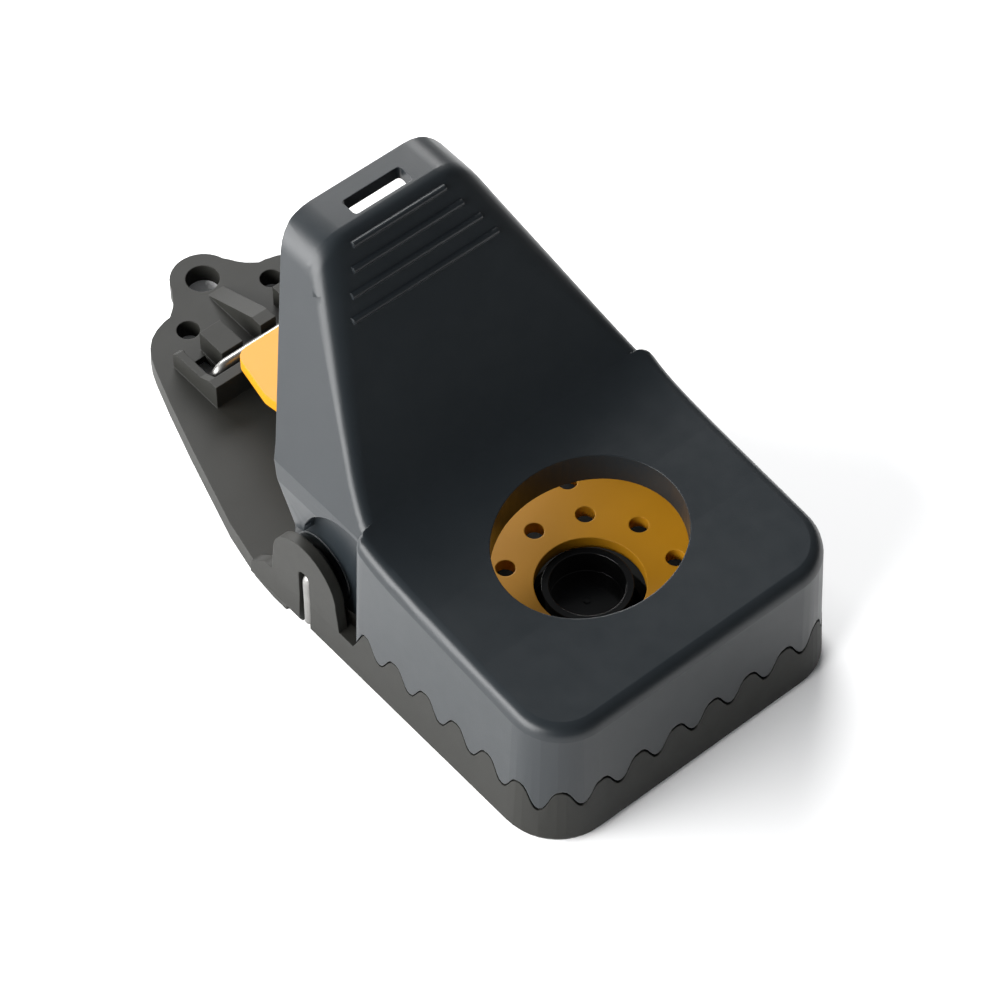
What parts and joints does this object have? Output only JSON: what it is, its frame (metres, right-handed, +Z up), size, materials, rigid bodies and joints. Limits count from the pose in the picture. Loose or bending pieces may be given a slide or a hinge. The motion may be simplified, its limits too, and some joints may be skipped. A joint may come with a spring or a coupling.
{
  "type": "snap mouse trap",
  "caption": "Jaw snap mouse trap: toothed base and jaw with a raised setting lever, oval window over a trigger plate, bait cup, steel spring and hanging tail",
  "frame": {"origin": "middle of the footprint, on the surface the trap stands on", "axes": "+Z up, -Y towards the mouth, +Y towards the hanging tail, X across the width"},
  "size_m": [0.0472, 0.0994, 0.05],
  "materials": {
    "base_plastic": "satin moulded",
    "jaw_plastic": "satin moulded",
    "trigger_plastic": "satin moulded",
    "cup_plastic": "polished moulded",
    "steel_wire": "drawn wire"
  },
  "bodies": {
    "base": {"base_tray": "base_plastic", "hinge_wire": "steel_wire", "main_spring": "steel_wire"},
    "jaw": {"jaw_lever": "jaw_plastic"},
    "trigger": {"trigger_plate": "trigger_plastic"},
    "cup": {"bait_cup": "cup_plastic"}
  },
  "joints": [
    {"name": "jaw_hinge", "type": "hinge", "parent": "base", "child": "jaw", "pos_m": [0, -0.0046, 0.0094], "axis": [-1, 0, 0], "range_deg": [0, 68], "stiffness_Nm_per_rad": 0.25, "springref_deg": -68.75, "deforming": ["main_spring"]},
    {"name": "trigger_hinge", "type": "hinge", "parent": "base", "child": "trigger", "pos_m": [0, -0.0046, 0.0094], "axis": [1, 0, 0], "range_deg": [0, 5]},
    {"name": "cup_twist", "type": "hinge", "parent": "base", "child": "cup", "pos_m": [0, -0.0289, 0.002], "axis": [0, 0, 1], "range_deg": [0, 50]}
  ]
}
